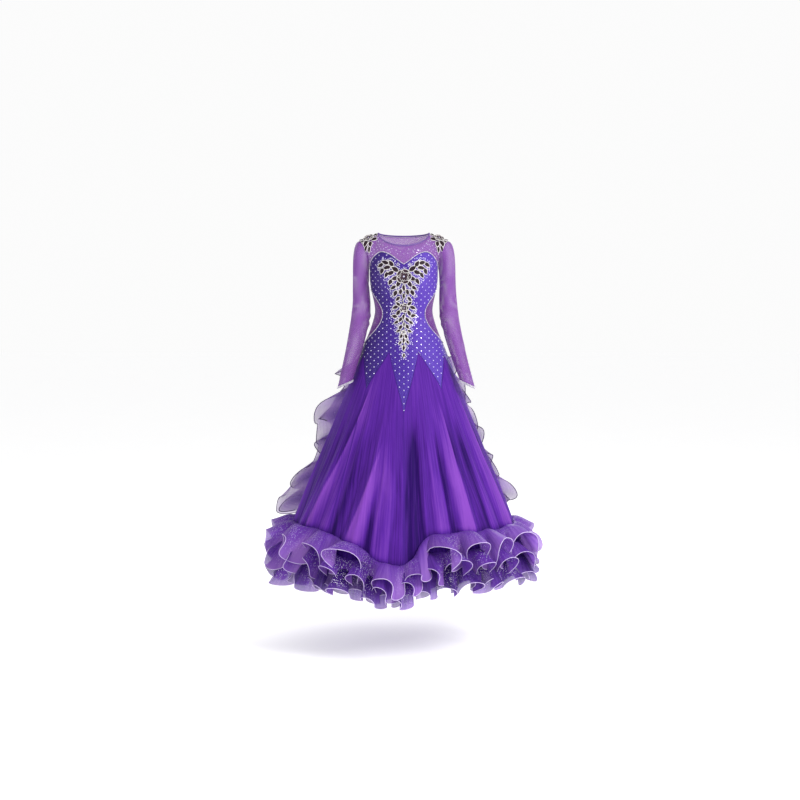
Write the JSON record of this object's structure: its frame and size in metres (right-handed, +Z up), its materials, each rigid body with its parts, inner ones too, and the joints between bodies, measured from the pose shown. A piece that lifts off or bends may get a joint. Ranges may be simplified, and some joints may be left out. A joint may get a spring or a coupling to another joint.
{
  "type": "princess dress",
  "caption": "Worn-form ballroom gown: sheer yoke and sleeves, beaded bodice with long gore points, flared organza skirt and ruffled hem.",
  "frame": {"origin": "midway between the neck ends of the two shoulder seams, where the wearer's shoulders carry the dress", "axes": "+Z up along the body, front of the dress towards -Y, +X towards the wearer's left sleeve"},
  "size_m": [0.9857, 0.9456, 1.2366],
  "materials": {
    "sheer_mesh": "sheer stretch mesh, soft sheen",
    "binding": "satin binding",
    "bead_trim": "silver bead trim",
    "bodice_satin": "stretch satin set with rhinestones",
    "skirt_organza": "crisp translucent organza",
    "ruffle_organza": "glittered organza with stiff pale edge",
    "cascade_organza": "translucent organza with dark corded edge",
    "applique": "embroidered applique with beaded outline"
  },
  "bodies": {
    "root": {"yoke_front": "sheer_mesh", "yoke_back": "sheer_mesh", "sleeve_left": "sheer_mesh", "sleeve_right": "sheer_mesh", "waist_insert_left": "sheer_mesh", "waist_insert_right": "sheer_mesh", "neck_binding": "binding", "cuff_trim_left": "bead_trim", "cuff_trim_right": "bead_trim", "bodice_front": "bodice_satin", "bodice_back_left": "bodice_satin", "bodice_back_right": "bodice_satin", "skirt_panel_1": "skirt_organza", "skirt_panel_2": "skirt_organza", "skirt_panel_3": "skirt_organza", "skirt_panel_4": "skirt_organza", "skirt_panel_5": "skirt_organza", "skirt_panel_6": "skirt_organza", "skirt_panel_7": "skirt_organza", "skirt_panel_8": "skirt_organza", "hem_ruffle_upper_1": "ruffle_organza", "hem_ruffle_upper_2": "ruffle_organza", "hem_ruffle_upper_3": "ruffle_organza", "hem_ruffle_upper_4": "ruffle_organza", "hem_ruffle_lower_1": "ruffle_organza", "hem_ruffle_lower_2": "ruffle_organza", "hem_ruffle_lower_3": "ruffle_organza", "hem_ruffle_lower_4": "ruffle_organza", "cascade_side_left": "cascade_organza", "cascade_back_left": "cascade_organza", "cascade_side_right": "cascade_organza", "cascade_back_right": "cascade_organza", "applique_front": "applique", "applique_shoulder_left": "applique", "applique_shoulder_right": "applique"}
  },
  "joints": []
}
